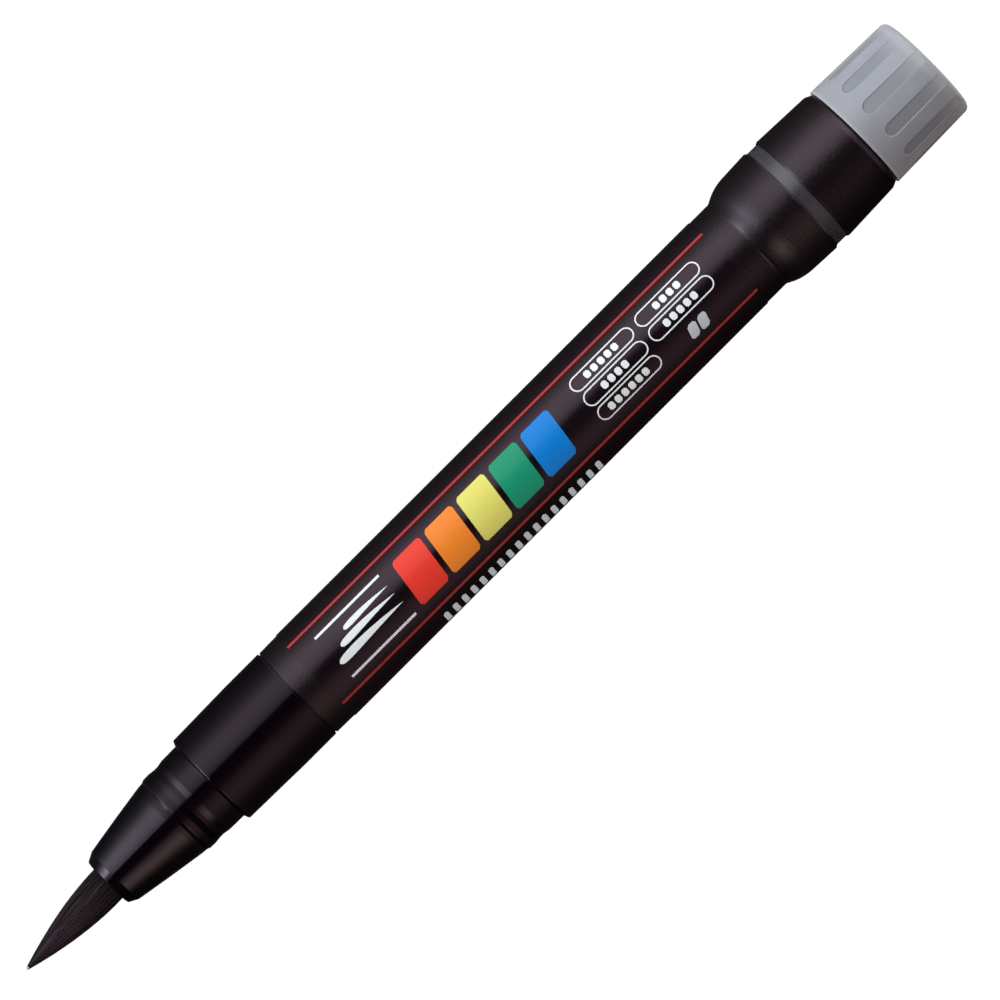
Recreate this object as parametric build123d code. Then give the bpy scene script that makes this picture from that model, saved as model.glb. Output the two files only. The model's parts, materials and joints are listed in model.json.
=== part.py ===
from build123d import *

import math
import os

# Brush pen for water-based paint, uncapped, with a push button and a valve-fed brush.
# Everything is in millimetres. A station is a distance along the pen from the brush tip.
# The pen lies along X: the brush points to -X, the button to +X, the printed side to +Z.
# The origin is on the axis, in the middle of the film that wraps the barrel.

# Stations of the outer shape
PEN_LENGTH = 150.0
TUFT_ROOT = 19.5
NOSE_FRONT = 13.98
LIP_END = 14.06
CHAMFER_END = 15.24
NOSE_MIDDLE = 20.0
NOSE_BACK = 24.3
NOSE_END = 25.03
BEAD_FRONT = 25.43
BEAD_BACK = 26.3
GROOVE_START = 27.1
GROOVE_END = 27.7
LAND_START = 28.5
LAND_END = 30.87
STEP_TOP = 31.13
CAP_SEAT_START = 40.0
CAP_SEAT_END = 45.36
BARREL_FRONT = 45.54
FILM_START = 48.42
FILM_END = 116.93
FLARE_START = 120.1
FLARE_CORNER = 121.87
BARREL_END = 127.5
SLEEVE_FRONT = 129.07
SLEEVE_SHOULDER = 136.97
BUTTON_FRONT = 137.9
ORIGIN_STATION = (FILM_START + FILM_END) / 2

# Radii of the outer shape
TUFT_RADIUS = 2.41
TUFT_TIP_RADIUS = 0.12
NOSE_OPENING = 2.58
NOSE_LIP_RADIUS = 3.32
CHAMFER_RADIUS = 3.94
NOSE_MIDDLE_RADIUS = 4.73
NOSE_BACK_RADIUS = 5.38
NOSE_END_RADIUS = 5.44
BEAD_FRONT_RADIUS = 5.61
BEAD_RADIUS = 5.63
GROOVE_RADIUS = 5.53
LAND_FRONT_RADIUS = 5.68
LAND_RADIUS = 5.71
STEP_RADIUS = 6.385
SEAM_RADIUS = 6.3
CAP_SEAT_RADIUS = 6.55
BARREL_FRONT_RADIUS = 6.49
BARREL_RADIUS = 6.53
FILM_THICKNESS = 0.09
FLARE_RADIUS = 7.504
BARREL_END_RADIUS = 7.735
BAND_RADIUS = 7.5
SLEEVE_FRONT_RADIUS = 7.725
SLEEVE_SHOULDER_RADIUS = 7.43
SLEEVE_END_RADIUS = 6.98
EDGE_BEVEL = 0.27
EDGE_REVEAL = 0.04
BUTTON_FRONT_RADIUS = 7.36
BUTTON_END_RADIUS = 7.09

# The brush leans: its tip is this far to -Y of the axis, and the lean follows this power of
# the distance left to its base. Its belly swells until it is straight at the nose.
TUFT_BASE = 16.0
TUFT_LEAN = 0.45
TUFT_LEAN_POWER = 0.8
TUFT_STRAIGHT = 13.2
TUFT_SWELL = 1.75

# Travel of the button, and the clearances that the moving parts run with
TRAVEL = 1.5
STOP_GAP = 0.05
BAND_LAP = 0.05
SLIDE_CLEARANCE = 0.05
GUIDE_CLEARANCE = 0.06
TANK_CLEARANCE = 0.1

# Inside of the front section
SPIGOT_RADIUS = 4.6
SPIGOT_END = 30.8
NOSE_BORE = 3.4
PLUG_END = 27.5
SEAL_END = 31.6
FEED_END = 45.5
FRONT_BORE_END = 47.2
JOINT_END = 54.0
NECK_SEAL_STATION = 51.0
NECK_SEAL_SECTION = 0.35
SEAL_PLAY = 0.05

# Feed pipe, wick and the pin that opens the valve
PIPE_FRONT = 8.5
PIPE_END = 30.0
PIPE_RADIUS = 0.55
PIPE_BORE = 0.3
WICK_RADIUS = 1.5
WICK_END = 43.0
PIN_RADIUS = 0.8

# Paint tank and valve
TANK_RADIUS = 5.2
TANK_BORE = 4.5
TANK_SHOULDER = 60.0
TANK_END = 131.5
NECK_FRONT = 49.4
NECK_RADIUS = 3.2
NECK_BORE = 2.4
NECK_MOUTH = 1.6
NECK_WALL = 0.6
SEAT_THICKNESS = 1.2
SEAT_BORE = 1.2
STEM_FRONT = 47.6
STEM_HEAD_RADIUS = 1.9
STEM_TAIL_RADIUS = 0.7
STEM_TAIL_END = 58.6
CAGE_FRONT = 57.2
CAGE_THICKNESS = 1.0
BALL_RADIUS = 2.5
BALL_STATION = 100.0

# Barrel bore, guide ring and rear unit
BARREL_BORE = 5.65
REAR_SOCKET = 6.9
GUIDE_FRONT = 123.0
GUIDE_TAIL_RADIUS = 6.3
GUIDE_TAIL_END = 133.5
COLLAR_THICKNESS = 1.5
PLUG_FRONT = 127.5
TAIL_GROOVE_START = 128.6
TAIL_GROOVE_END = 129.6
TAIL_GROOVE_RADIUS = 4.1
PLUG_HEAD_END = 133.0
STUD_RADIUS = 2.0
STUD_END = 135.6
POST_RADIUS = 3.2
BUTTON_BORE = 5.75
BUTTON_SPIGOT_FRONT = 135.2
END_WALL = 1.45
FLUTE_COUNT = 12
FLUTE_START = 140.45
FLUTE_FLOOR = 1.62
FLUTE_FRONT_DEPTH = 0.16
FLUTE_END_DEPTH = 0.08
FLUTE_WALL_ANGLE = 50.0
FIRST_FLUTE_ANGLE = -10.0


def turned(*corners):
    """Turns an outline of (station, radius) or (station, radius, rounding) about the axis."""
    points = [(corner[0] - ORIGIN_STATION, corner[1]) for corner in corners]
    face = make_face(Polyline(*points, close=True))
    for point, corner in zip(points, corners):
        if len(corner) == 3:
            vertex = face.vertices().sort_by_distance(point)[0]
            face = fillet(vertex, corner[2])
    return revolve(face, Axis.X)


def ring(start, end, bore, radius):
    """A plain tube, or a disc where the bore is 0, between two stations."""
    return turned((start, bore), (start, radius), (end, radius), (end, bore))


def across(station, offset=0.0):
    """The plane across the pen at a station, with its centre moved by offset along Y."""
    origin = (station - ORIGIN_STATION, offset, 0)
    return Plane(origin=origin, x_dir=(0, 1, 0), z_dir=(1, 0, 0))


def around(shape, count, first=0.0):
    """Copies of a shape at equal steps round the axis."""
    return [Rot(X=first + 360 / count * step) * shape for step in range(count)]


def ports(start, end, circle, radius, count):
    """Round passages along the pen, on a circle about the axis."""
    pin = Cylinder(radius, end - start)
    placed = across((start + end) / 2) * Pos(circle, 0, 0) * pin
    return around(placed, count)


def coil(start, end, radius, wire, turns):
    """A compression spring that fills the space between two stations."""
    height = end - start - 2 * wire
    path = across(start + wire) * Helix(height / turns, height, radius)
    profile = Plane(origin=path @ 0, z_dir=path % 0) * Circle(wire)
    return sweep(profile, path=path, is_frenet=True)


def tuft_section(station):
    """A round section of the bundle on its leaning axis."""
    lean = -TUFT_LEAN * (1 - station / TUFT_BASE) ** TUFT_LEAN_POWER
    slimness = max(0.0, 1 - station / TUFT_STRAIGHT) ** TUFT_SWELL
    radius = TUFT_RADIUS - (TUFT_RADIUS - TUFT_TIP_RADIUS) * slimness
    return across(station, lean) * Circle(radius)


def brush_tuft():
    """The bundle of bristles: a swelling point that leans a little, and a straight root."""
    spans = 12
    point = loft([tuft_section(TUFT_BASE * step / spans) for step in range(spans + 1)])
    root = ring(TUFT_BASE, TUFT_ROOT, 0, TUFT_RADIUS)
    return point + root - ring(PIPE_FRONT, TUFT_ROOT, 0, PIPE_RADIUS)


def brush_collar():
    """Grips the root of the bristles inside the nose cone."""
    return turned(
        (TUFT_BASE, TUFT_RADIUS),
        (TUFT_BASE, NOSE_BORE, 0.2),
        (TUFT_ROOT, NOSE_BORE),
        (TUFT_ROOT, TUFT_RADIUS),
    )


def brush_plug():
    """Backs the bristles and holds the feed pipe, with a waist that saves material."""
    waist = 2.6
    return turned(
        (TUFT_ROOT, PIPE_RADIUS),
        (TUFT_ROOT, NOSE_BORE),
        (TUFT_ROOT + 1.5, NOSE_BORE),
        (TUFT_ROOT + 1.5, waist),
        (PLUG_END - 1.5, waist),
        (PLUG_END - 1.5, NOSE_BORE),
        (PLUG_END, NOSE_BORE),
        (PLUG_END, PIPE_RADIUS),
    )


def feed_pipe():
    """Carries paint from the wick into the heart of the brush."""
    return ring(PIPE_FRONT, PIPE_END, PIPE_BORE, PIPE_RADIUS)


def nose_cone():
    return turned(
        (NOSE_FRONT, NOSE_OPENING, 0.1),
        (LIP_END, NOSE_LIP_RADIUS, 0.25),
        (CHAMFER_END, CHAMFER_RADIUS, 0.3),
        (NOSE_MIDDLE, NOSE_MIDDLE_RADIUS, 150.0),
        (NOSE_BACK, NOSE_BACK_RADIUS, 4.0),
        (NOSE_END, NOSE_END_RADIUS, 0.05),
        (NOSE_END, SPIGOT_RADIUS),
        (SPIGOT_END, SPIGOT_RADIUS),
        (SPIGOT_END, NOSE_BORE),
        (TUFT_BASE, NOSE_BORE, 0.2),
        (TUFT_BASE, NOSE_OPENING),
    )


def nose_seal():
    """Rubber washer between the nose cone's spigot and the feed body."""
    return ring(SPIGOT_END, SEAL_END, 3.0, SPIGOT_RADIUS)


def relay_wick():
    """Fibre rod from the feed body to the feed pipe."""
    rod = ring(PLUG_END, WICK_END, 0, WICK_RADIUS)
    return rod - ring(PLUG_END, PIPE_END, 0, PIPE_RADIUS)


def feed_body():
    """Spool that holds the wick, passes paint to it and carries the valve-opening pin."""
    waist = 2.6
    spool = turned(
        (SEAL_END, WICK_RADIUS),
        (SEAL_END, SPIGOT_RADIUS),
        (SEAL_END + 1.5, SPIGOT_RADIUS),
        (SEAL_END + 1.5, waist),
        (FEED_END - 2.0, waist),
        (FEED_END - 2.0, SPIGOT_RADIUS),
        (FEED_END, SPIGOT_RADIUS),
        (FEED_END, PIN_RADIUS),
        (STEM_FRONT - 0.02, PIN_RADIUS, 0.15),
        (STEM_FRONT - 0.02, 0),
        (WICK_END, 0),
        (WICK_END, WICK_RADIUS),
    )
    return spool - ports(WICK_END - 0.5, FEED_END, 1.35, 0.4, 4)


def front_section():
    """Glossy shell: beads and sealing land for the cap, its seat, and the barrel spigot."""
    shell = turned(
        (NOSE_END, SPIGOT_RADIUS),
        (NOSE_END, NOSE_END_RADIUS),
        (BEAD_FRONT, BEAD_FRONT_RADIUS, 0.4),
        (BEAD_BACK, BEAD_RADIUS, 1.2),
        (GROOVE_START, GROOVE_RADIUS, 1.0),
        (GROOVE_END, GROOVE_RADIUS, 0.8),
        (LAND_START, LAND_FRONT_RADIUS, 0.8),
        (LAND_END, LAND_RADIUS, 0.12),
        (STEP_TOP, STEP_RADIUS, 0.3),
        (CAP_SEAT_START, CAP_SEAT_RADIUS),
        (CAP_SEAT_END, CAP_SEAT_RADIUS, 0.1),
        (CAP_SEAT_END, SEAM_RADIUS),
        (BARREL_FRONT, SEAM_RADIUS),
        (BARREL_FRONT, BARREL_BORE),
        (JOINT_END, BARREL_BORE, 0.3),
        (JOINT_END, NECK_RADIUS + SLIDE_CLEARANCE),
        (FRONT_BORE_END, NECK_RADIUS + SLIDE_CLEARANCE),
        (FRONT_BORE_END, SPIGOT_RADIUS),
    )
    half = NECK_SEAL_SECTION + SEAL_PLAY
    start = NECK_SEAL_STATION - half
    end = NECK_SEAL_STATION + half
    return shell - ring(start, end, NECK_RADIUS, NECK_RADIUS + 2 * NECK_SEAL_SECTION + SEAL_PLAY)


def neck_seal():
    """O-ring that keeps paint in while the tank's neck slides through it."""
    middle = NECK_RADIUS + 0.02 + NECK_SEAL_SECTION
    return across(NECK_SEAL_STATION) * Torus(middle, NECK_SEAL_SECTION)


def barrel():
    return turned(
        (BARREL_FRONT, BARREL_BORE),
        (BARREL_FRONT, BARREL_FRONT_RADIUS, 0.08),
        (FILM_START - 0.2, BARREL_RADIUS),
        (FLARE_START, BARREL_RADIUS, 0.5),
        (FLARE_CORNER, FLARE_RADIUS, 6.5),
        (BARREL_END - EDGE_BEVEL, BARREL_END_RADIUS, 0.15),
        (BARREL_END, BAND_RADIUS + EDGE_REVEAL),
        (BARREL_END, REAR_SOCKET),
        (GUIDE_FRONT, REAR_SOCKET),
        (GUIDE_FRONT, BARREL_BORE),
    )


def label_film():
    """Shrink film that carries the print."""
    return ring(FILM_START, FILM_END, BARREL_RADIUS, BARREL_RADIUS + FILM_THICKNESS)


def guide_ring():
    """Grey ring glued in the barrel: its band shows, and its tail guides the sleeve."""
    bore = TANK_RADIUS + TANK_CLEARANCE
    band_end = SLEEVE_FRONT + BAND_LAP
    return turned(
        (GUIDE_FRONT, bore),
        (GUIDE_FRONT, REAR_SOCKET),
        (BARREL_END, REAR_SOCKET),
        (BARREL_END, BAND_RADIUS),
        (band_end, BAND_RADIUS),
        (band_end, GUIDE_TAIL_RADIUS),
        (GUIDE_TAIL_END, GUIDE_TAIL_RADIUS, 0.2),
        (GUIDE_TAIL_END, bore),
    )


def return_spring():
    """Pushes the tank and the button back."""
    return coil(JOINT_END + 0.05, TANK_SHOULDER - 0.05, 4.4, 0.35, 4.5)


def paint_tank():
    """Bottle with a valve neck in front, a stop collar and an open rear end."""
    inner_shoulder = TANK_SHOULDER + 1.0
    collar_end = GUIDE_FRONT - STOP_GAP
    collar_radius = BARREL_BORE - 0.07
    return turned(
        (NECK_FRONT, NECK_MOUTH),
        (NECK_FRONT, NECK_RADIUS, 0.3),
        (TANK_SHOULDER, NECK_RADIUS),
        (TANK_SHOULDER, TANK_RADIUS, 0.5),
        (collar_end - COLLAR_THICKNESS, TANK_RADIUS),
        (collar_end - COLLAR_THICKNESS, collar_radius, 0.1),
        (collar_end, collar_radius),
        (collar_end, TANK_RADIUS),
        (TANK_END, TANK_RADIUS),
        (TANK_END, TANK_BORE),
        (inner_shoulder, TANK_BORE, 0.5),
        (inner_shoulder, NECK_BORE),
        (NECK_FRONT + NECK_WALL, NECK_BORE),
        (NECK_FRONT + NECK_WALL, NECK_MOUTH),
    )


def valve_seal():
    start = NECK_FRONT + NECK_WALL
    return ring(start, start + SEAT_THICKNESS, SEAT_BORE, NECK_BORE)


def valve_stem():
    """Rod that the feed pin holds back, a sealing head, and a tail for the spring."""
    head = NECK_FRONT + NECK_WALL + SEAT_THICKNESS + 0.01
    return turned(
        (STEM_FRONT, 0),
        (STEM_FRONT, PIN_RADIUS, 0.15),
        (head, PIN_RADIUS),
        (head, STEM_HEAD_RADIUS),
        (head + 1.2, STEM_HEAD_RADIUS, 0.2),
        (head + 1.2, STEM_TAIL_RADIUS),
        (STEM_TAIL_END, STEM_TAIL_RADIUS, 0.15),
        (STEM_TAIL_END, 0),
    )


def valve_cage():
    """Pierced disc in the neck that guides the stem's tail and backs its spring."""
    disc = ring(CAGE_FRONT, CAGE_FRONT + CAGE_THICKNESS, STEM_TAIL_RADIUS + 0.05, NECK_BORE)
    return disc - ports(CAGE_FRONT, CAGE_FRONT + CAGE_THICKNESS, 1.6, 0.4, 6)


def valve_spring():
    head_end = NECK_FRONT + NECK_WALL + SEAT_THICKNESS + 1.21
    return coil(head_end + 0.03, CAGE_FRONT - 0.03, 1.35, 0.22, 5.5)


def mixing_ball():
    """Steel ball that lies on the floor of the tank and stirs the paint when shaken."""
    drop = TANK_BORE - BALL_RADIUS - 0.02
    return Pos(BALL_STATION - ORIGIN_STATION, 0, -drop) * Sphere(BALL_RADIUS)


def tail_plug():
    """Closes the tank, and carries the button on a stud."""
    return turned(
        (PLUG_FRONT, 0),
        (PLUG_FRONT, TANK_BORE, 0.3),
        (TAIL_GROOVE_START, TANK_BORE),
        (TAIL_GROOVE_START, TAIL_GROOVE_RADIUS),
        (TAIL_GROOVE_END, TAIL_GROOVE_RADIUS),
        (TAIL_GROOVE_END, TANK_BORE),
        (TANK_END, TANK_BORE),
        (TANK_END, TANK_RADIUS),
        (PLUG_HEAD_END, TANK_RADIUS),
        (PLUG_HEAD_END, STUD_RADIUS),
        (STUD_END, STUD_RADIUS, 0.2),
        (STUD_END, 0),
    )


def tail_seal():
    """Square ring in the tail plug's groove."""
    start = TAIL_GROOVE_START + SEAL_PLAY
    end = TAIL_GROOVE_END - SEAL_PLAY
    return ring(start, end, TAIL_GROOVE_RADIUS, TANK_BORE)


def rear_sleeve():
    """Black sleeve that moves with the button: its thin lip slides over the grey band."""
    bore = GUIDE_TAIL_RADIUS + GUIDE_CLEARANCE
    lip_bore = BAND_RADIUS + SLIDE_CLEARANCE
    lip_end = SLEEVE_FRONT + BAND_LAP + TRAVEL + STOP_GAP
    return turned(
        (SLEEVE_FRONT, lip_bore),
        (SLEEVE_FRONT, lip_bore + EDGE_REVEAL),
        (SLEEVE_FRONT + EDGE_BEVEL, SLEEVE_FRONT_RADIUS, 0.1),
        (SLEEVE_SHOULDER, SLEEVE_SHOULDER_RADIUS, 0.8),
        (BUTTON_FRONT, SLEEVE_END_RADIUS, 0.1),
        (BUTTON_FRONT, bore),
        (lip_end, bore),
        (lip_end, lip_bore),
    )


def flutes():
    """Cutters for the shallow grip flutes, which fade towards the button's end."""
    overrun = 1.0
    height = 0.5
    spread = 2 * height * math.tan(math.radians(FLUTE_WALL_ANGLE))
    length = PEN_LENGTH + overrun - FLUTE_START
    bottom = SlotOverall(length, FLUTE_FLOOR)
    top = Pos(0, 0, height) * SlotOverall(length + spread, FLUTE_FLOOR + spread)
    flute = loft([bottom, top], ruled=True)
    cone = (BUTTON_FRONT_RADIUS - BUTTON_END_RADIUS) / (PEN_LENGTH - BUTTON_FRONT)
    front = BUTTON_FRONT_RADIUS - cone * (FLUTE_START - BUTTON_FRONT) - FLUTE_FRONT_DEPTH
    back = BUTTON_END_RADIUS - FLUTE_END_DEPTH
    slope = (front - back) / (PEN_LENGTH - FLUTE_START)
    middle = FLUTE_START + length / 2
    tilt = Rot(Y=math.degrees(math.atan(slope)))
    place = Pos(middle - ORIGIN_STATION, 0, front - slope * length / 2)
    return around(place * tilt * flute, FLUTE_COUNT, FIRST_FLUTE_ANGLE)


def push_button():
    """Frosted end piece: a tapered cup with grip flutes, a spigot and a hollow post."""
    spigot_radius = GUIDE_TAIL_RADIUS + GUIDE_CLEARANCE
    inner_face = PEN_LENGTH - END_WALL
    cup = turned(
        (BUTTON_SPIGOT_FRONT, BUTTON_BORE),
        (BUTTON_SPIGOT_FRONT, spigot_radius, 0.15),
        (BUTTON_FRONT, spigot_radius),
        (BUTTON_FRONT, BUTTON_FRONT_RADIUS, 0.06),
        (PEN_LENGTH, BUTTON_END_RADIUS, 0.8),
        (PEN_LENGTH, 0),
        (STUD_END, 0),
        (STUD_END, STUD_RADIUS),
        (PLUG_HEAD_END, STUD_RADIUS),
        (PLUG_HEAD_END, POST_RADIUS, 0.15),
        (inner_face, POST_RADIUS, 0.5),
        (inner_face, BUTTON_BORE, 0.5),
    )
    return cup - flutes()


NODES = (
    brush_tuft,
    brush_collar,
    brush_plug,
    feed_pipe,
    nose_cone,
    nose_seal,
    relay_wick,
    feed_body,
    front_section,
    neck_seal,
    barrel,
    label_film,
    guide_ring,
    return_spring,
    paint_tank,
    valve_seal,
    valve_stem,
    valve_cage,
    valve_spring,
    mixing_ball,
    tail_plug,
    tail_seal,
    rear_sleeve,
    push_button,
)

os.makedirs("parts", exist_ok=True)
for node in NODES:
    export_step(node(), f"parts/{node.__name__}.step")
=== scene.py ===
"""The brush pen's bristles, print, springs, materials, light and camera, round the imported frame.

The pen lies along X with its brush to -X and its printed side to +Z. A station is a distance in
millimetres along the pen from the tip of the brush. A turn is an angle in degrees round the pen,
0 in the middle of the printed side and positive towards -Y.
"""

import json
import math
import random

import bpy
from mathutils import Matrix, Vector

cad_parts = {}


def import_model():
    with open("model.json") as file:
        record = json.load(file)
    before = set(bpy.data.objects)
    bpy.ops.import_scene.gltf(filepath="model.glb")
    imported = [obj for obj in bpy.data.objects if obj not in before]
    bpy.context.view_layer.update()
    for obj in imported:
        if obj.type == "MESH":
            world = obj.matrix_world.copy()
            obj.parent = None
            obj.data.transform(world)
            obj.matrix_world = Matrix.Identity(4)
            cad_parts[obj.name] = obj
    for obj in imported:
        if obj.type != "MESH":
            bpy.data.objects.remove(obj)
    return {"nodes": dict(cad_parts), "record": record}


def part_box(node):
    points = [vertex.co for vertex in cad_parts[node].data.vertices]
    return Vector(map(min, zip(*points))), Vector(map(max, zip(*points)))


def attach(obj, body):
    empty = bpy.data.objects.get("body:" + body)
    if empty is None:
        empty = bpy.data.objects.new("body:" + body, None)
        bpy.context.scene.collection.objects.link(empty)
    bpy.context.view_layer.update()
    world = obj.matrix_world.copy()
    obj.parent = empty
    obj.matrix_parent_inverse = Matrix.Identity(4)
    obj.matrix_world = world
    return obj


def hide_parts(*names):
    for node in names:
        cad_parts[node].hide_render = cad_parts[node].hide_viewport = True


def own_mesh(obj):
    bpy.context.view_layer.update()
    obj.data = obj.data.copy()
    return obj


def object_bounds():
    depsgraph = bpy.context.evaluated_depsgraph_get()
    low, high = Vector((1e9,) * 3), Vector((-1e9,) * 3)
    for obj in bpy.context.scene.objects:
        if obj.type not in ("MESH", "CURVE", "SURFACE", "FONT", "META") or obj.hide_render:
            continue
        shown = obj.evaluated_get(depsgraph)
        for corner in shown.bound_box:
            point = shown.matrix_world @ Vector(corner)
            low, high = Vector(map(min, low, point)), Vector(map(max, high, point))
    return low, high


MM = 0.001

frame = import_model()
cad_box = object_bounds()

TIP_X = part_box("brush_tuft")[0].x
FILM_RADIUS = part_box("label_film")[1].z


def at(station):
    """The X of a station."""
    return TIP_X + station * MM


# ---------------------------------------------------------------- meshes


def make_piece(name, points, faces, material, body):
    """A mesh piece from points in metres, smooth shaded, riding on a CAD body."""
    mesh = bpy.data.meshes.new(name)
    mesh.from_pydata(points, [], faces)
    mesh.validate()
    for polygon in mesh.polygons:
        polygon.use_smooth = True
    mesh.materials.append(material)
    piece = bpy.data.objects.new(name, mesh)
    bpy.context.scene.collection.objects.link(piece)
    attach(piece, body)
    return piece


def tube(points, faces, centres, radii, sides, up=Vector((0, 0, 1))):
    """Adds a capped tube that follows centres, with a radius at each of them."""
    first = len(points)
    for index, centre in enumerate(centres):
        before = centres[max(index - 1, 0)]
        after = centres[min(index + 1, len(centres) - 1)]
        along = (after - before).normalized()
        side = along.cross(up).normalized()
        over = side.cross(along)
        for step in range(sides):
            angle = math.tau * step / sides
            reach = side * math.cos(angle) + over * math.sin(angle)
            points.append(centre + reach * radii[index])
    for ring in range(len(centres) - 1):
        low = first + ring * sides
        for step in range(sides):
            nearby = (step + 1) % sides
            faces.append((low + step, low + sides + step, low + sides + nearby, low + nearby))
    faces.append(tuple(range(first, first + sides)))
    last = len(points) - sides
    faces.append(tuple(reversed(range(last, last + sides))))


# ---------------------------------------------------------------- materials


class Graph:
    """Short ways to add nodes to a node tree."""

    def __init__(self, tree):
        self.tree = tree

    def node(self, kind, settings=None, **inputs):
        """A new node, with its settings and what its named inputs get."""
        made = self.tree.nodes.new(kind)
        for key, value in (settings or {}).items():
            setattr(made, key, value)
        for key, value in inputs.items():
            self.feed(made.inputs[key.replace("_", " ")], value)
        return made

    def feed(self, socket, value):
        """Links a socket to another node, or sets its value."""
        if isinstance(value, bpy.types.NodeSocket):
            self.tree.links.new(value, socket)
        else:
            socket.default_value = value

    def span(self, value, low, high, to_low=0.0, to_high=1.0, smooth=False):
        """Maps low..high to to_low..to_high, and holds the ends."""
        made = self.node(
            "ShaderNodeMapRange",
            {"interpolation_type": "SMOOTHSTEP" if smooth else "LINEAR"},
            Value=value,
        )
        made.inputs["From Min"].default_value = low
        made.inputs["From Max"].default_value = high
        made.inputs["To Min"].default_value = to_low
        made.inputs["To Max"].default_value = to_high
        return made.outputs[0]

    def maths(self, first, second=0.0, operation="ADD"):
        """The sum of two values, or what another operation makes of them."""
        made = self.node("ShaderNodeMath", {"operation": operation})
        self.feed(made.inputs[0], first)
        self.feed(made.inputs[1], second)
        return made.outputs[0]

    def mix(self, factor, low, high):
        """A colour between low and high."""
        made = self.node("ShaderNodeMix", {"data_type": "RGBA"})
        self.feed(made.inputs["Factor"], factor)
        for socket, value in ((made.inputs[6], low), (made.inputs[7], high)):
            self.feed(socket, value if isinstance(value, bpy.types.NodeSocket) else (*value, 1))
        return made.outputs[2]

    def curve(self, value, stops):
        """Straight runs between (value, result) stops."""
        low, high = stops[0][0], stops[-1][0]
        most = max(result for _, result in stops)
        made = self.node("ShaderNodeValToRGB", Fac=self.span(value, low, high))
        points = made.color_ramp.elements
        for index, (stop, result) in enumerate(stops):
            place = (stop - low) / (high - low)
            point = points[index] if index < 2 else points.new(place)
            point.position = place
            point.color = (*[result / most] * 3, 1)
        return self.maths(made.outputs["Color"], most, "MULTIPLY")


class Look(Graph):
    """A Principled material under construction. Values go straight on the shader's sockets."""

    def __init__(self, name, **values):
        self.material = bpy.data.materials.new(name)
        self.material.use_nodes = True
        super().__init__(self.material.node_tree)
        self.shader = self.tree.nodes["Principled BSDF"]
        self.place = self.node("ShaderNodeTexCoord").outputs["Object"]
        for socket, value in values.items():
            if isinstance(value, tuple):
                value = (*value, 1)
            self.shader.inputs[socket.replace("_", " ")].default_value = value

    def noise(self, per_mm, detail=3.0, stretch=None):
        """Noise with so many features in a millimetre, drawn out along X by stretch."""
        where = self.place
        if stretch:
            where = self.node("ShaderNodeMapping", Vector=where, Scale=(1 / stretch, 1, 1)).outputs[0]
        made = self.node(
            "ShaderNodeTexNoise", Vector=where, Scale=per_mm / MM, Detail=detail, Roughness=0.55
        )
        return made.outputs["Fac"]

    def cells(self, per_mm, place):
        """Rounded cells, so many in a millimetre."""
        made = self.node(
            "ShaderNodeTexVoronoi", {"feature": "SMOOTH_F1"}, Vector=place, Scale=per_mm / MM
        )
        return made.outputs["Distance"]

    def colour(self, value):
        self.feed(self.shader.inputs["Base Color"], value)

    def rough(self, value):
        self.feed(self.shader.inputs["Roughness"], value)

    def bump(self, height, depth_mm, strength=1.0):
        made = self.node("ShaderNodeBump", Strength=strength, Distance=depth_mm * MM, Height=height)
        self.feed(self.shader.inputs["Normal"], made.outputs[0])

    def axes(self):
        """The three coordinates of a point, in metres."""
        split = self.node("ShaderNodeSeparateXYZ", Vector=self.place)
        return split.outputs

    def radius(self):
        """The distance of a point from the pen's axis, in metres."""
        _, y, z = self.axes()
        square = self.maths(self.maths(y, y, "MULTIPLY"), self.maths(z, z, "MULTIPLY"))
        return self.maths(square, 0.5, "POWER")


def gloss_black():
    """Moulded gloss: a nearly black body, slight orange peel and faint handling haze."""
    look = Look("gloss_black_plastic", Specular_IOR_Level=0.23, Specular_Tint=(1, 0.78, 0.94))
    haze = look.noise(0.25, detail=5)
    look.colour(look.mix(haze, (0.0012, 0.0004, 0.0012), (0.0020, 0.0010, 0.0020)))
    look.rough(look.span(haze, 0.3, 0.7, 0.07, 0.11))
    look.bump(look.noise(1.2, detail=2), 0.0020)
    return look.material


def matte_black():
    """Spark-eroded leather grain: small rounded cells with finer pores over them."""
    look = Look("matte_black_plastic", Specular_IOR_Level=0.37, Specular_Tint=(1, 0.79, 0.92))
    drift = look.noise(0.6, detail=4)
    warp = look.node("ShaderNodeTexNoise", Vector=look.place, Scale=1.6 / MM, Detail=2.0)
    nudge = look.node("ShaderNodeVectorMath", {"operation": "SCALE"}, Scale=0.35 * MM)
    look.feed(nudge.inputs[0], warp.outputs["Color"])
    place = look.node("ShaderNodeVectorMath", {"operation": "ADD"})
    look.feed(place.inputs[0], look.place)
    look.feed(place.inputs[1], nudge.outputs[0])
    grain = look.cells(2.6, place.outputs[0])
    pores = look.noise(6.0, detail=3)
    height = look.maths(look.maths(grain, 0.8, "MULTIPLY"), look.maths(pores, 0.5, "MULTIPLY"))
    look.colour(look.mix(drift, (0.0025, 0.0012, 0.0018), (0.0045, 0.0024, 0.0034)))
    look.rough(look.span(pores, 0.3, 0.7, 0.25, 0.33))
    look.bump(height, 0.03, 0.55)
    return look.material


def film_black():
    """Shrink film: satin, with faint lengthwise stretch marks."""
    look = Look("printed_film", Specular_IOR_Level=0.37, Specular_Tint=(1, 0.74, 0.88))
    stretch = look.noise(1.5, detail=3, stretch=8)
    haze = look.noise(0.3, detail=4)
    look.colour(look.mix(haze, (0.003, 0.0015, 0.0025), (0.006, 0.003, 0.005)))
    look.rough(look.span(haze, 0.3, 0.7, 0.17, 0.23))
    look.bump(stretch, 0.003, 0.6)
    return look.material


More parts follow.
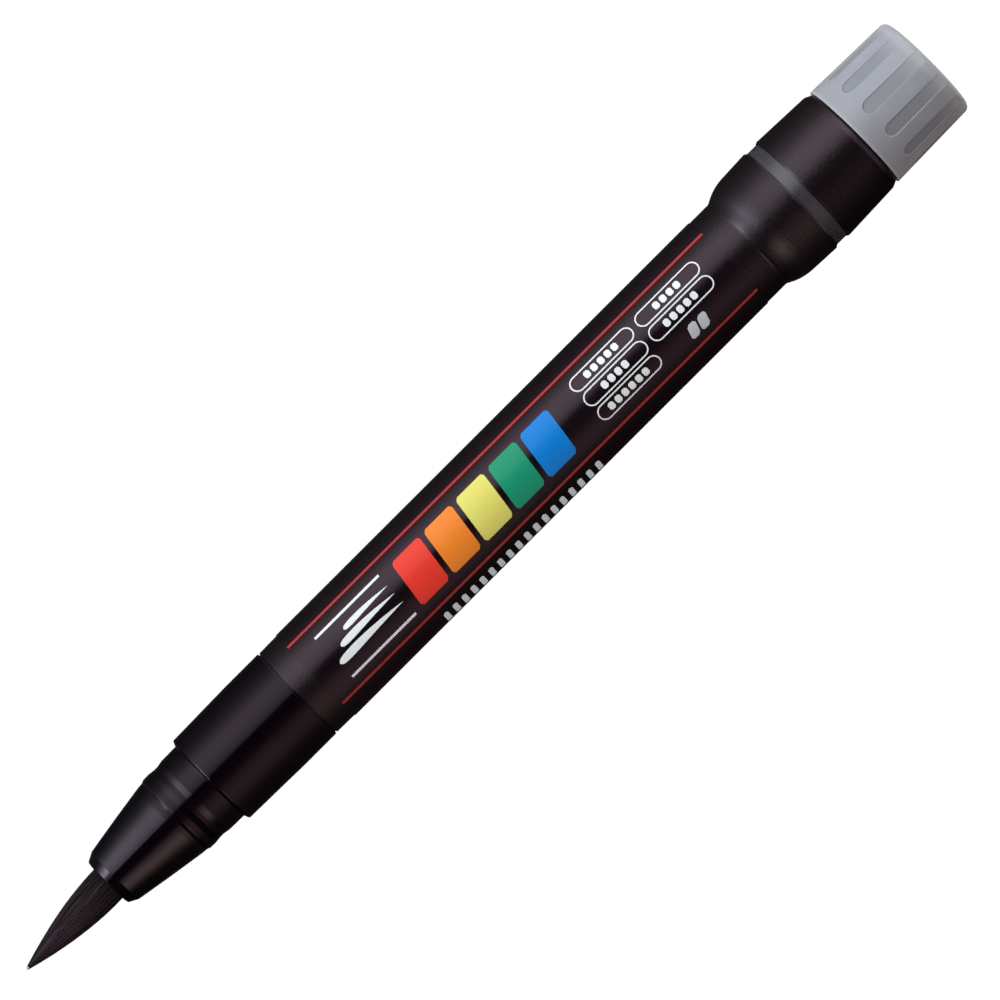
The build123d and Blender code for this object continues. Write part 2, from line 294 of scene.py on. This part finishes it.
def band_grey():
    """Smoky grey plastic that lets a little light in."""
    look = Look("smoky_grey_plastic", Specular_IOR_Level=0.62, Subsurface_Weight=0.15)
    look.shader.inputs["Subsurface Radius"].default_value = (0.6, 0.6, 0.65)
    look.shader.inputs["Subsurface Scale"].default_value = 0.5 * MM
    cloud = look.noise(0.7, detail=4)
    look.colour(look.mix(cloud, (0.026, 0.021, 0.027), (0.038, 0.032, 0.040)))
    look.rough(look.span(cloud, 0.3, 0.7, 0.22, 0.30))
    look.bump(look.noise(4.0, detail=2), 0.004)
    return look.material


BUTTON_FRONT = 137.9
BUTTON_END = 150.0
BUTTON_FRONT_RADIUS = 7.36
BUTTON_END_RADIUS = 7.09
FLUTE_SHALLOW = 0.02
FLUTE_DEEP = 0.08
FLUTE_SHADE_FADE = (149.2, 145.5)
SOLID_END_LIGHT = (148.1, 149.0)
FRONT_RIM_LIGHT = (138.4, 138.0)


def frosted():
    """Frosted end piece, with painted shade on the flutes' floors for the dark cavity seen through
    their thin walls, and painted light on its solid end and front rim.
    """
    look = Look("frosted_plastic", Specular_IOR_Level=0.35, Subsurface_Weight=0.35)
    look.shader.inputs["Subsurface Radius"].default_value = (0.9, 1.0, 1.1)
    look.shader.inputs["Subsurface Scale"].default_value = 0.7 * MM
    x = look.axes()[0]
    cloud = look.noise(0.35, detail=4)
    body = look.mix(cloud, (0.230, 0.227, 0.254), (0.264, 0.261, 0.290))
    # How deep a point lies below the cone that the button was turned to
    front, end = at(BUTTON_FRONT), at(BUTTON_END)
    cone = look.span(x, front, end, BUTTON_FRONT_RADIUS * MM, BUTTON_END_RADIUS * MM)
    depth = look.maths(cone, look.radius(), "SUBTRACT")
    # Flute floors that lie deep enough are painted darker: painted shade for the dark cavity seen
    # through their thin walls, fading out towards the solid end.
    sunk = look.span(depth, FLUTE_SHALLOW * MM, FLUTE_DEEP * MM, smooth=True)
    painted_shade_fade = look.span(x, *map(at, FLUTE_SHADE_FADE), smooth=True)
    inside = look.maths(sunk, painted_shade_fade, "MULTIPLY")
    shaded = look.mix(look.maths(inside, 0.48, "MULTIPLY"), body, (0.128, 0.131, 0.156))
    # The solid end and the front rim are painted lighter: painted light for light scattered in the
    # thick frosted wall there.
    solid = look.span(x, *map(at, SOLID_END_LIGHT), smooth=True)
    rim = look.span(x, *map(at, FRONT_RIM_LIGHT), smooth=True)
    painted_light = look.maths(look.maths(solid, 0.22, "MULTIPLY"), look.maths(rim, 0.25, "MULTIPLY"))
    look.colour(look.mix(painted_light, shaded, (0.47, 0.44, 0.45)))
    look.rough(look.span(cloud, 0.3, 0.7, 0.36, 0.46))
    look.bump(look.noise(5.0, detail=3), 0.004)
    return look.material


ROOT_DARK_SPAN = (14.2, 7.5)


def bristle_look():
    """Nylon bristles: each bristle has its own shade and is darker near its root."""
    look = Look("bristles", Specular_IOR_Level=0.20, Specular_Tint=(1, 0.72, 0.84))
    shade = look.node("ShaderNodeAttribute", {"attribute_name": "shade"}).outputs["Fac"]
    x = look.axes()[0]
    # Darker towards the root, over the rear of the bundle
    tipward = look.span(x, *map(at, ROOT_DARK_SPAN), smooth=True)
    strand = look.mix(shade, (0.0026, 0.0010, 0.0016), (0.0190, 0.0098, 0.0140))
    look.colour(look.mix(tipward, (0.0020, 0.0006, 0.0009), strand))
    look.rough(look.span(shade, 0.0, 1.0, 0.34, 0.44))
    look.bump(look.noise(5.0, detail=2, stretch=10), 0.001)
    return look.material


def print_ink(name, colour):
    """Screen-printed ink: even, slightly mottled, and a little duller than the film under it."""
    look = Look(name, Specular_IOR_Level=0.18)
    mottle = look.noise(2.5, detail=3)
    darker = tuple(channel * 0.88 for channel in colour)
    look.colour(look.mix(mottle, darker, colour))
    look.rough(look.span(mottle, 0.3, 0.7, 0.27, 0.35))
    look.bump(look.noise(6.0, detail=2), 0.002)
    return look.material


def moulded(name, low, high, roughness):
    """Plain moulded plastic, rubber or felt for the pieces inside the pen."""
    look = Look(name)
    cloud = look.noise(0.8, detail=4)
    look.colour(look.mix(cloud, low, high))
    look.rough(look.span(cloud, 0.3, 0.7, roughness, roughness + 0.1))
    look.bump(look.noise(4.0, detail=3), 0.006)
    return look.material


def steel(name, roughness, stretch):
    """Drawn or polished steel with fine scratches."""
    look = Look(name, Metallic=1.0)
    scratch = look.noise(8.0, detail=3, stretch=stretch)
    look.colour(look.mix(scratch, (0.46, 0.46, 0.47), (0.62, 0.62, 0.63)))
    look.rough(look.span(scratch, 0.3, 0.7, roughness, roughness + 0.12))
    look.bump(scratch, 0.002)
    return look.material


LOOKS = {
    "bristle": bristle_look(),
    "gloss_black": gloss_black(),
    "matte_black": matte_black(),
    "film": film_black(),
    "band_grey": band_grey(),
    "frosted": frosted(),
    "grey_plastic": moulded("natural_plastic", (0.40, 0.40, 0.41), (0.5, 0.5, 0.5), 0.4),
    "clear_plastic": moulded("tank_plastic", (0.55, 0.57, 0.6), (0.66, 0.68, 0.7), 0.25),
    "fibre": moulded("bonded_fibre", (0.02, 0.02, 0.02), (0.06, 0.05, 0.06), 0.8),
    "rubber": moulded("soft_rubber", (0.02, 0.02, 0.02), (0.04, 0.04, 0.04), 0.6),
    "spring_steel": steel("spring_wire", 0.25, 4),
    "ball_steel": steel("ball_steel", 0.1, None),
}


def dress_nodes():
    """Gives every CAD node the look of its slot in the record."""
    slots = {part["node"]: part["material_slot"] for part in frame["record"]["subparts"]}
    for name, node in frame["nodes"].items():
        node.data.materials.clear()
        node.data.materials.append(LOOKS[slots[name]])


# ---------------------------------------------------------------- brush

TUFT_BASE = 16.0
TUFT_LEAN = 0.45
TUFT_LEAN_POWER = 0.8
TUFT_STRAIGHT = 13.2
TUFT_SWELL = 1.75
TUFT_RADIUS = 2.41
TUFT_TIP_RADIUS = 0.12
TUFT_TIP = 0.06
BRISTLE_COUNT = 300
BRISTLE_ROOT = 16.5
BRISTLE_RADIUS = 0.085
BRISTLE_RINGS = 15
BRISTLE_SIDES = 6
BRISTLE_SWAY = 0.07
OUTER_SHARE = 0.16
CORE_SIDES = 32
CORE_SHARE = 0.93
CORE_START = 0.5
# The core takes nearly the darkest bristle tone: painted shade in the gaps between the bristles.
CORE_GAP_SHADE = 0.05
GOLDEN_TURN = math.pi * (3 - math.sqrt(5))


def tuft_radius(station):
    """Radius of the bundle in millimetres, as in the CAD model."""
    slimness = max(1 - station / TUFT_STRAIGHT, 0) ** TUFT_SWELL
    return TUFT_RADIUS - (TUFT_RADIUS - TUFT_TIP_RADIUS) * slimness


def tuft_point(station, share, angle):
    """A point of the bundle, at a share of its radius and an angle round its leaning axis."""
    lean = TUFT_LEAN * max(1 - station / TUFT_BASE, 0) ** TUFT_LEAN_POWER
    reach = tuft_radius(station) * share
    return Vector((at(station), (reach * math.cos(angle) - lean) * MM, reach * math.sin(angle) * MM))


def bristle(points, faces, draw, index):
    """Adds one tapering bristle, from the tip of the bundle to its root, and gives its shade."""
    angle = index * GOLDEN_TURN + draw.uniform(-0.15, 0.15)
    gathered = draw.random() ** 2
    end = TUFT_TIP + TUFT_STRAIGHT * (1 - (1 - gathered) ** (1 / TUFT_SWELL))
    share = 1 - OUTER_SHARE * draw.random() ** 1.4
    sway = draw.uniform(-BRISTLE_SWAY, BRISTLE_SWAY)
    phase = draw.uniform(0, math.tau)
    thick = BRISTLE_RADIUS * draw.uniform(0.75, 1.15)
    centres, radii = [], []
    for step in range(BRISTLE_RINGS):
        along = step / (BRISTLE_RINGS - 1)
        station = end + (BRISTLE_ROOT - end) * along**1.2
        gather = math.sqrt(tuft_radius(station) / TUFT_RADIUS)
        taper = min(1, 0.15 + along * 3.2)
        radius = thick * gather * taper
        inset = share - radius / tuft_radius(station)
        wander = sway * math.sin(phase + station * 0.55)
        centres.append(tuft_point(station, max(inset, 0), angle + wander))
        radii.append(radius * MM)
    tube(points, faces, centres, radii, BRISTLE_SIDES)
    clump = 0.5 + 0.5 * math.sin(5 * angle + 1.3) * math.sin(2 * angle + 0.4)
    return 0.6 * clump + 0.4 * draw.random() ** 1.5


def tuft_core(points, faces):
    """Adds the solid core that fills the bundle under its bristles, and gives it a dark shade, painted
    shade for the gaps between the bristles.
    """
    spans = 16
    stations = [BRISTLE_ROOT * (step / spans) ** 1.3 for step in range(spans + 1)]
    stations[0] = CORE_START
    centres = [tuft_point(station, 0, 0) for station in stations]
    radii = [tuft_radius(station) * CORE_SHARE * MM for station in stations]
    tube(points, faces, centres, radii, CORE_SIDES)
    return CORE_GAP_SHADE


def brush():
    """A core painted dark as the shade in the gaps, under three hundred tapering bristles that gather
    to the tip.
    """
    draw = random.Random(11)
    points, faces, shades = [], [], []

    def keep(shade):
        """Gives a shade to every point added since the last call."""
        shades.extend([shade] * (len(points) - len(shades)))

    keep(tuft_core(points, faces))
    for index in range(BRISTLE_COUNT):
        keep(bristle(points, faces, draw, index))
    piece = make_piece("bristles", points, faces, LOOKS["bristle"], "barrel")
    shade = piece.data.attributes.new("shade", "FLOAT", "POINT")
    shade.data.foreach_set("value", shades)
    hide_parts("brush_tuft")


# ---------------------------------------------------------------- springs

STEPS_PER_TURN = 28
WIRE_SIDES = 10


def spring(name, node, body, turns, wire_mm):
    """A wound wire spring in the space of its CAD node, which it replaces."""
    low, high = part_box(node)
    wire = wire_mm * MM
    radius = high.z - wire
    start, end = low.x + wire, high.x - wire
    steps = int(turns * STEPS_PER_TURN)
    centres = []
    for step in range(steps + 1):
        angle = math.tau * turns * step / steps
        share = step / steps
        centres.append(
            Vector((start + (end - start) * share, radius * math.cos(angle), radius * math.sin(angle)))
        )
    points, faces = [], []
    tube(points, faces, centres, [wire] * len(centres), WIRE_SIDES, up=Vector((1, 0, 0)))
    piece = make_piece(name, points, faces, LOOKS["spring_steel"], body)
    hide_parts(node)
    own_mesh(piece)


# ---------------------------------------------------------------- print

FILM_START = 48.42
FILM_END = 116.93
INK_PROUD = 0.02
INK_SUNK = 0.015
INK_COLOURS = {
    "red": (0.66, 0.036, 0.022),
    "rule_red": (0.36, 0.024, 0.028),
    "orange": (0.72, 0.19, 0.02),
    "yellow": (0.62, 0.56, 0.12),
    "green": (0.008, 0.23, 0.125),
    "blue": (0.003, 0.165, 0.52),
    "white": (0.67, 0.675, 0.69),
    "grey": (0.68, 0.74, 0.80),
    "silver": (0.46, 0.49, 0.53),
}
RULE_WIDTH = 0.36
RULE_INSET = 0.02
RULE_TURNS = (-43.7, 43.5)
THIN_RULE_WIDTH = 0.33
THIN_RULE_SPAN = (51.45, 61.95)
THIN_RULE_TURNS = (-27.4, 28.4)
STROKE_END = 61.8
STROKES = ((54.6, -13.0, 0.7), (53.0, -2.5, 0.85), (51.5, 9.5, 1.0))
CHIPS = ("red", "orange", "yellow", "green", "blue")
CHIPS_SPAN = (63.5, 89.1)
CHIP_GAP = 0.75
DASH_COUNT = 18
DASHES_START = 64.0
DASH_PITCH = 1.47
DASH_WIDTH = 0.72
PILL_HEIGHT = 2.05
PILL_LINE = 0.17
PILL_COLUMNS = ((93.2, 103.15, (-22.0, -1.4, 19.0)), (103.95, 114.0, (-22.0, -1.4)))
PILL_BLOCKS = (5, 4, 6, 4, 5)
BLOCK_PITCH = 1.12
BLOCK_GAP = 0.3
BLOCK_HEIGHT = 0.95
CODE_STARTS = (107.6, 109.2)


def film_point(station, turn, lift):
    """A point near the film's surface, with lift in millimetres."""
    angle = math.radians(turn)
    reach = FILM_RADIUS + lift * MM
    return (at(station), -reach * math.sin(angle), reach * math.cos(angle))


def arc(mm):
    """The turn, in degrees, of a length round the film."""
    return math.degrees(mm * MM / FILM_RADIUS)


def ink(name, grids, look, closed=False):
    """A thin closed slab of ink on the film for each grid of rows of (station, turn). A closed
    grid's last row joins its first."""
    points, faces = [], []
    for grid in grids:
        rows, columns = len(grid), len(grid[0])
        base = len(points)
        for lift in (INK_PROUD, -INK_SUNK):
            points.extend(film_point(*spot, lift) for row in grid for spot in row)
        under = rows * columns

        def vertex(row, column, low=0):
            return base + (row % rows) * columns + column + low * under

        spans = rows if closed else rows - 1
        for row in range(spans):
            for column in range(columns - 1):
                square = ((row, column), (row, column + 1), (row + 1, column + 1), (row + 1, column))
                faces.append(tuple(vertex(*corner) for corner in square))
                faces.append(tuple(vertex(*corner, 1) for corner in reversed(square)))
            for column, order in ((0, 1), (columns - 1, -1)):
                wall = (
                    vertex(row, column),
                    vertex(row + 1, column),
                    vertex(row + 1, column, 1),
                    vertex(row, column, 1),
                )
                faces.append(wall[::order])
        if not closed:
            for row, order in ((0, -1), (rows - 1, 1)):
                for column in range(columns - 1):
                    wall = (
                        vertex(row, column),
                        vertex(row, column + 1),
                        vertex(row, column + 1, 1),
                        vertex(row, column, 1),
                    )
                    faces.append(wall[::-order])
    piece = make_piece(name, points, faces, look, "barrel")
    for polygon in piece.data.polygons:
        polygon.use_smooth = False
    return piece


def rule(start, end, turn, width):
    """A straight line along the pen."""
    half = arc(width) / 2
    return [[(station, turn - half), (station, turn + half)] for station in (start, end)]


def stroke(start, end, turn, width):
    """A brush stroke that starts round and full and runs out to a point."""
    rows = []
    steps, across = 36, 6
    for step in range(steps + 1):
        along = step / steps
        swell = math.sin(math.pi * along**0.45) ** 0.8
        reach = arc(width) / 2 * max(swell, 0.03)
        drift = arc(0.15 * width) * math.sin(math.pi * along)
        station = start + (end - start) * along
        rows.append(
            [(station, turn - drift + reach * (2 * side / across - 1)) for side in range(across + 1)]
        )
    return rows


def outline(start, end, turn, height, width):
    """The outline of a pill, as a closed ring of rows."""
    rows = []
    half = height / 2
    middle_front, middle_rear = start + half, end - half
    steps = 20
    for centre, first in ((middle_rear, -90), (middle_front, 90)):
        for step in range(steps + 1):
            angle = math.radians(first + 180 * step / steps)
            row = []
            for reach in (half, half - width):
                row.append((centre + reach * math.cos(angle), turn + arc(reach * math.sin(angle))))
            rows.append(row)
    return rows


def chip(start, width, low, high, slant, cut):
    """A slanted block with cut corners."""
    rows = []
    steps = 26
    for step in range(steps + 1):
        along = step / steps
        turn = low + (high - low) * along
        edge = min(along, 1 - along) * (high - low) / arc(1)
        trim = max(cut - edge, 0)
        shift = slant * (0.5 - along)
        rows.append([(start + shift + trim, turn), (start + shift + width - trim, turn)])
    return [list(reversed(row)) for row in rows]


def print_rules(inks):
    """A red rule along each edge of the print, and two thin white ones beside the strokes."""
    start, end = FILM_START + RULE_INSET, FILM_END - RULE_INSET
    edges = [rule(start, end, turn, RULE_WIDTH) for turn in RULE_TURNS]
    ink("print_edge_rules", edges, inks["rule_red"])
    thin = [rule(*THIN_RULE_SPAN, turn, THIN_RULE_WIDTH) for turn in THIN_RULE_TURNS]
    ink("print_thin_rules", thin, inks["white"])


def print_strokes(inks):
    """Brush strokes that start apart and end together."""
    strokes = [stroke(start, STROKE_END, turn, width) for start, turn, width in STROKES]
    ink("print_strokes", strokes, inks["white"])


def print_chips(inks):
    """Slanted chips in the order of the spectrum."""
    start, end = CHIPS_SPAN
    pitch = (end - start + CHIP_GAP) / len(CHIPS)
    for index, name in enumerate(CHIPS):
        grid = chip(start + pitch * index, pitch - CHIP_GAP, low=-27, high=28, slant=0.9, cut=0.35)
        ink(f"print_chip_{name}", [grid], inks[name])


def print_dashes(inks):
    """A row of dashes on the side towards -Y."""
    dashes = []
    for index in range(DASH_COUNT):
        start = DASHES_START + DASH_PITCH * index
        dashes.append(chip(start, DASH_WIDTH, low=57, high=78, slant=0.0, cut=0.2))
    ink("print_dashes", dashes, inks["grey"])


def print_pills(inks):
    """Outlined pills in two columns, each with a row of blocks in its middle."""
    pills = [(start, end, turn) for start, end, turns in PILL_COLUMNS for turn in turns]
    rings = [outline(start, end, turn, PILL_HEIGHT, PILL_LINE) for start, end, turn in pills]
    ink("print_pills", rings, inks["white"], closed=True)
    blocks = []
    width, half = BLOCK_PITCH - BLOCK_GAP, arc(BLOCK_HEIGHT) / 2
    for (start, end, turn), count in zip(pills, PILL_BLOCKS):
        first = (start + end - count * BLOCK_PITCH) / 2
        for index in range(count):
            place = first + BLOCK_PITCH * index
            blocks.append(chip(place, width, turn - half, turn + half, slant=0.0, cut=0.2))
    ink("print_pill_blocks", blocks, inks["white"])


def print_code(inks):
    """Two small silver chips beside the pills."""
    codes = [chip(start, 1.3, low=16.0, high=32.0, slant=0.5, cut=0.3) for start in CODE_STARTS]
    ink("print_code", codes, inks["silver"])


def print_marks():
    """Plain marks in the places of the printed ones."""
    inks = {name: print_ink(f"ink_{name}", colour) for name, colour in INK_COLOURS.items()}
    for marks in (print_rules, print_strokes, print_chips, print_dashes, print_pills, print_code):
        marks(inks)


# ---------------------------------------------------------------- stage

PAPER_WHITE = 1.02
FLOOR_HALF = 3.0
FLOOR_GAP = 0.0005


def floor():
    """A plain white floor that lights nothing and mirrors in nothing."""
    look = bpy.data.materials.new("floor_white")
    look.use_nodes = True
    tree = look.node_tree
    tree.nodes.clear()
    glow = tree.nodes.new("ShaderNodeEmission")
    glow.inputs["Color"].default_value = (1, 1, 1, 1)
    glow.inputs["Strength"].default_value = PAPER_WHITE
    out = tree.nodes.new("ShaderNodeOutputMaterial")
    tree.links.new(glow.outputs[0], out.inputs["Surface"])
    half = FLOOR_HALF
    level = cad_box[0].z - FLOOR_GAP
    corners = [(x, y, level) for x, y in ((-half, -half), (half, -half), (half, half), (-half, half))]
    mesh = bpy.data.meshes.new("floor")
    mesh.from_pydata(corners, [], [(0, 1, 2, 3)])
    mesh.materials.append(look)
    plane = bpy.data.objects.new("floor", mesh)
    bpy.context.scene.collection.objects.link(plane)
    plane.visible_diffuse = False
    plane.visible_glossy = False
    plane.visible_shadow = False


# How bright the studio is round the pen, as (degrees, brightness): a broad softbox on each side
# of a dark gap overhead, the left one towards +Y. Turns are from straight up to either side, and
# leans from straight across, positive towards +X.
LEFT_TURNS = (
    (0, 0.005), (7, 0.01), (10, 0.42), (21, 0.74), (31, 0.91), (42, 1.0), (53, 0.93),
    (65, 0.6), (78, 0.29), (92, 0.13), (108, 0.05), (128, 0.015), (180, 0.01),
)
RIGHT_TURNS = (
    (0, 0.005), (12, 0.015), (21, 0.07), (31, 0.22), (42, 0.34), (53, 0.40), (65, 0.33),
    (78, 0.17), (92, 0.06), (108, 0.03), (128, 0.012), (180, 0.01),
)
LEFT_LEANS = (
    (-90, 1.0), (-38, 1.0), (-31, 2.2), (-20, 2.2), (-12, 1.15), (-1, 0.94), (3, 1.0), (8, 1.32),
    (90, 1.0),
)
RIGHT_LEANS = (
    (-90, 0.1), (-45, 0.1), (-38, 0.8), (-30, 3.6), (-24, 5.2), (-16, 5.2), (-9, 1.2), (1, 0.8),
    (3, 0.45), (6, 0.14), (9, 0.08), (25, 0.06), (90, 0.06),
)
# A lamp in front of the left softbox, a glow past both ends, and what the white floor sends up
LAMP_LEANS = ((-66, 0.0), (-61, 4.5), (-54, 3.5), (-47, 1.6), (-40, 0.0))
END_LEANS = (
    (-90, 0.12), (-76, 0.08), (-68, 0.0), (36, 0.0), (48, 0.35), (62, 0.35), (76, 0.12), (90, 0.2),
)
FLOOR_GLOW = 0.42
LEFT_COLOUR = (0.97, 0.985, 1.0)
LEFT_FRONT_COLOUR = (0.86, 1.0, 1.04)
RIGHT_COLOUR = (1.0, 0.74, 0.67)
RIGHT_FRONT_COLOUR = (1.0, 0.84, 0.70)
# Over these leans the lights change to their front colours and the right one narrows, and over
# these turns the lamp comes up
FRONT_LEANS = (-5, -18)
NARROW_LEANS = (-8, -16)
NARROW_POWER = 1.7
LAMP_TURNS = (26, 38)
STUDIO_STRENGTH = 2.3


def tinted(graph, glow, forward, colour, front_colour):
    """Light as bright as glow, in a colour that changes towards the front."""
    made = graph.node("ShaderNodeVectorMath", {"operation": "SCALE"}, Scale=glow)
    graph.feed(made.inputs[0], graph.mix(forward, colour, front_colour))
    return made.outputs[0]


def left_softbox(graph, away, lean, forward):
    """The stronger, cooler light, with a lamp in front of it."""
    lamp = graph.maths(graph.curve(lean, LAMP_LEANS), graph.span(away, *LAMP_TURNS), "MULTIPLY")
    along = graph.maths(graph.curve(lean, LEFT_LEANS), lamp)
    glow = graph.maths(graph.curve(away, LEFT_TURNS), along, "MULTIPLY")
    return tinted(graph, glow, forward, LEFT_COLOUR, LEFT_FRONT_COLOUR)


def right_softbox(graph, away, lean, forward):
    """The weaker, warmer light, which narrows towards the front."""
    narrow = graph.span(lean, *NARROW_LEANS, 1.0, NARROW_POWER)
    across = graph.maths(graph.curve(away, RIGHT_TURNS), narrow, "POWER")
    glow = graph.maths(across, graph.curve(lean, RIGHT_LEANS), "MULTIPLY")
    return tinted(graph, glow, forward, RIGHT_COLOUR, RIGHT_FRONT_COLOUR)


def studio_light(graph, path):
    """What the two soft lights, the glow past the ends and the white floor send to a point."""
    view = graph.node("ShaderNodeTexCoord").outputs["Generated"]
    x, y, z = graph.node("ShaderNodeSeparateXYZ", Vector=view).outputs
    turn = graph.maths(graph.maths(y, z, "ARCTAN2"), operation="DEGREES")
    away = graph.maths(turn, operation="ABSOLUTE")
    lean = graph.maths(graph.maths(x, operation="ARCSINE"), operation="DEGREES")
    forward = graph.span(lean, *FRONT_LEANS)
    left = left_softbox(graph, away, lean, forward)
    right = right_softbox(graph, away, lean, forward)
    below = graph.span(z, 0.02, -0.02, 0.0, FLOOR_GLOW)
    bounce = graph.maths(below, path["Is Diffuse Ray"], "MULTIPLY")
    light = graph.node("ShaderNodeVectorMath", {"operation": "ADD"})
    graph.feed(light.inputs[0], graph.mix(graph.span(turn, -1, 1), right, left))
    graph.feed(light.inputs[1], graph.maths(graph.curve(lean, END_LEANS), bounce))
    return light.outputs[0]


def world():
    """White to the eye, and a studio of two soft lights to everything that it lights."""
    made = bpy.data.worlds.new("studio")
    bpy.context.scene.world = made
    made.use_nodes = True
    made.node_tree.nodes.clear()
    graph = Graph(made.node_tree)
    path = graph.node("ShaderNodeLightPath").outputs
    light = studio_light(graph, path)
    seen = graph.node("ShaderNodeBackground", Color=(1, 1, 1, 1), Strength=PAPER_WHITE)
    studio = graph.node("ShaderNodeBackground", Color=light, Strength=STUDIO_STRENGTH)
    blend = graph.node("ShaderNodeMixShader", Fac=path["Is Camera Ray"])
    graph.feed(blend.inputs[1], studio.outputs[0])
    graph.feed(blend.inputs[2], seen.outputs[0])
    graph.node("ShaderNodeOutputWorld", Surface=blend.outputs[0])


CAMERA_STATION = 65.9
CAMERA_HEIGHT = 0.949
AIM_STATION = 78.28
AIM_SIDE = -0.737
PICTURE_ANGLE = 44.972
LENS = 290.93


def camera():
    """Looks almost straight down on the pen, which crosses the picture at PICTURE_ANGLE."""
    made = bpy.data.cameras.new("camera")
    made.lens = LENS
    made.sensor_width = 36.0
    made.clip_start = 0.01
    made.clip_end = 20.0
    view = bpy.data.objects.new("camera", made)
    bpy.context.scene.collection.objects.link(view)
    place = Vector((at(CAMERA_STATION), AIM_SIDE * MM, CAMERA_HEIGHT))
    aim = Vector((at(AIM_STATION), AIM_SIDE * MM, 0))
    back = (place - aim).normalized()
    angle = math.radians(PICTURE_ANGLE)
    up = Vector((math.sin(angle), math.cos(angle), 0))
    side = up.cross(back).normalized()
    up = back.cross(side)
    view.matrix_world = Matrix.Translation(place) @ Matrix((side, up, back)).transposed().to_4x4()
    bpy.context.scene.camera = view


dress_nodes()
brush()
spring("return_coil", "return_spring", "barrel", 4.5, 0.35)
spring("valve_coil", "valve_spring", "tank", 5.5, 0.22)
print_marks()
floor()
world()
camera()
bpy.context.scene.view_settings.view_transform = "Standard"
